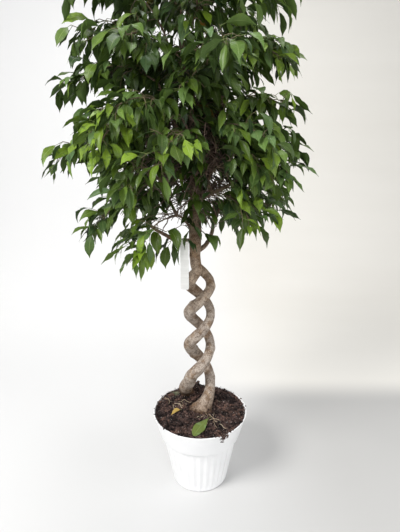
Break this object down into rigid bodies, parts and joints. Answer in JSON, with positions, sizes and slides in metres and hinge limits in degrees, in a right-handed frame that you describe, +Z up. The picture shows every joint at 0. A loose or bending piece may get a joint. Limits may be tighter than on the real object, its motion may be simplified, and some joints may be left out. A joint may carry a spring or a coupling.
{
  "type": "weeping fig",
  "caption": "Potted weeping fig grown as a standard: stems in an open spiral carry a round head of drooping leaves, in a ribbed white plastic pot filled with soil.",
  "frame": {"origin": "centre of the pot's flat base, on the floor", "axes": "+Z up along the pot's axis, -Y towards the front of the picture, +X to its right"},
  "size_m": [0.5874, 0.5401, 1.3319],
  "materials": {
    "pot": "satin",
    "soil": "matte",
    "bark": "matte",
    "leaf": "satin",
    "fallen_green": "satin",
    "fallen_yellow": "matte",
    "label": "satin"
  },
  "bodies": {
    "root": {"fallen_leaf_green": "fallen_green", "fallen_leaf_yellow": "fallen_yellow", "label": "label", "pot": "pot", "soil": "soil", "spray_01": "leaf", "spray_02": "leaf", "spray_03": "leaf", "spray_04": "leaf", "spray_05": "leaf", "spray_06": "leaf", "spray_07": "leaf", "spray_08": "leaf", "spray_09": "leaf", "spray_10": "leaf", "spray_11": "leaf", "spray_12": "leaf", "spray_13": "leaf", "spray_14": "leaf", "spray_15": "leaf", "spray_16": "leaf", "spray_17": "leaf", "spray_18": "leaf", "spray_19": "leaf", "spray_20": "leaf", "spray_21": "leaf", "spray_22": "leaf", "spray_23": "leaf", "spray_24": "leaf", "spray_25": "leaf", "spray_26": "leaf", "spray_27": "leaf", "spray_28": "leaf", "spray_29": "leaf", "spray_30": "leaf", "spray_31": "leaf", "spray_32": "leaf", "spray_33": "leaf", "spray_34": "leaf", "spray_35": "leaf", "spray_36": "leaf", "spray_37": "leaf", "spray_38": "leaf", "spray_39": "leaf", "spray_40": "leaf", "spray_41": "leaf", "spray_42": "leaf", "spray_43": "leaf", "spray_45": "leaf", "spray_46": "leaf", "spray_47": "leaf", "spray_48": "leaf", "spray_50": "leaf", "stem_a": "bark", "stem_b": "bark"}
  },
  "joints": []
}
